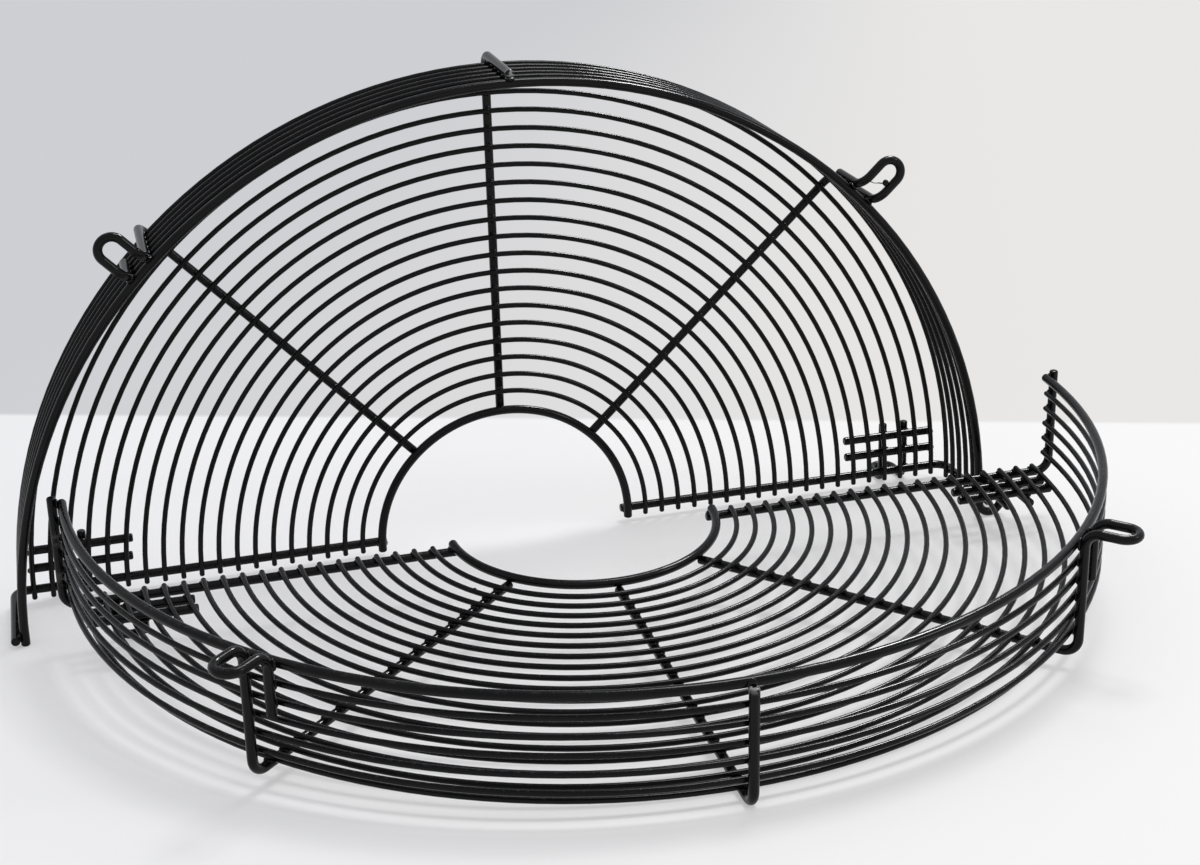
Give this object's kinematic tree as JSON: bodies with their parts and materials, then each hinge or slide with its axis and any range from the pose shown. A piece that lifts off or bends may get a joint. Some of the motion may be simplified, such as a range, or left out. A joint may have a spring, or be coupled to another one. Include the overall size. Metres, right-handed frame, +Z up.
{
  "type": "wire fan guard",
  "caption": "Split wire guard for an axial fan: half-round baskets of concentric ring wires on bent ribs, with mounting eyes at the rim and coupling eyes at the cut edges.",
  "frame": {"origin": "on the floor, straight below the ring centre of the half that stands", "axes": "+X along the cut edge of the standing half, +Y away from the half that lies in front, +Z up"},
  "size_m": [0.607, 0.3998, 0.2966],
  "materials": {
    "thin_wire_coat": "semi-gloss black powder coat",
    "heavy_wire_coat": "semi-gloss black powder coat"
  },
  "bodies": {
    "root": {"rear_face_ring_01": "thin_wire_coat", "rear_face_ring_02": "thin_wire_coat", "rear_face_ring_03": "thin_wire_coat", "rear_face_ring_04": "thin_wire_coat", "rear_face_ring_05": "thin_wire_coat", "rear_face_ring_06": "thin_wire_coat", "rear_face_ring_07": "thin_wire_coat", "rear_face_ring_08": "thin_wire_coat", "rear_face_ring_09": "thin_wire_coat", "rear_face_ring_10": "thin_wire_coat", "rear_face_ring_11": "thin_wire_coat", "rear_face_ring_12": "thin_wire_coat", "rear_face_ring_13": "thin_wire_coat", "rear_face_ring_14": "thin_wire_coat", "rear_face_ring_15": "thin_wire_coat", "rear_face_ring_16": "thin_wire_coat", "rear_face_ring_17": "thin_wire_coat", "rear_face_ring_18": "thin_wire_coat", "rear_face_ring_19": "thin_wire_coat", "rear_inner_ring": "heavy_wire_coat", "rear_wall_rings": "thin_wire_coat", "rear_rim_ring": "heavy_wire_coat", "rear_middle_rib": "heavy_wire_coat", "rear_bracket_bars": "heavy_wire_coat", "rear_edge_rib_left": "heavy_wire_coat", "rear_eye_rib_left": "heavy_wire_coat", "rear_coupling_eye_left": "heavy_wire_coat", "rear_edge_rib_right": "heavy_wire_coat", "rear_eye_rib_right": "heavy_wire_coat", "rear_coupling_eye_right": "heavy_wire_coat", "front_face_ring_01": "thin_wire_coat", "front_face_ring_02": "thin_wire_coat", "front_face_ring_03": "thin_wire_coat", "front_face_ring_04": "thin_wire_coat", "front_face_ring_05": "thin_wire_coat", "front_face_ring_06": "thin_wire_coat", "front_face_ring_07": "thin_wire_coat", "front_face_ring_08": "thin_wire_coat", "front_face_ring_09": "thin_wire_coat", "front_face_ring_10": "thin_wire_coat", "front_face_ring_11": "thin_wire_coat", "front_face_ring_12": "thin_wire_coat", "front_face_ring_13": "thin_wire_coat", "front_face_ring_14": "thin_wire_coat", "front_face_ring_15": "thin_wire_coat", "front_face_ring_16": "thin_wire_coat", "front_face_ring_17": "thin_wire_coat", "front_face_ring_18": "thin_wire_coat", "front_face_ring_19": "thin_wire_coat", "front_inner_ring": "heavy_wire_coat", "front_wall_rings": "thin_wire_coat", "front_rim_ring": "heavy_wire_coat", "front_middle_rib": "heavy_wire_coat", "front_bracket_bars": "heavy_wire_coat", "front_edge_rib_left": "heavy_wire_coat", "front_eye_rib_left": "heavy_wire_coat", "front_coupling_eye_left": "heavy_wire_coat", "front_edge_rib_right": "heavy_wire_coat", "front_eye_rib_right": "heavy_wire_coat", "front_coupling_eye_right": "heavy_wire_coat"}
  },
  "joints": []
}
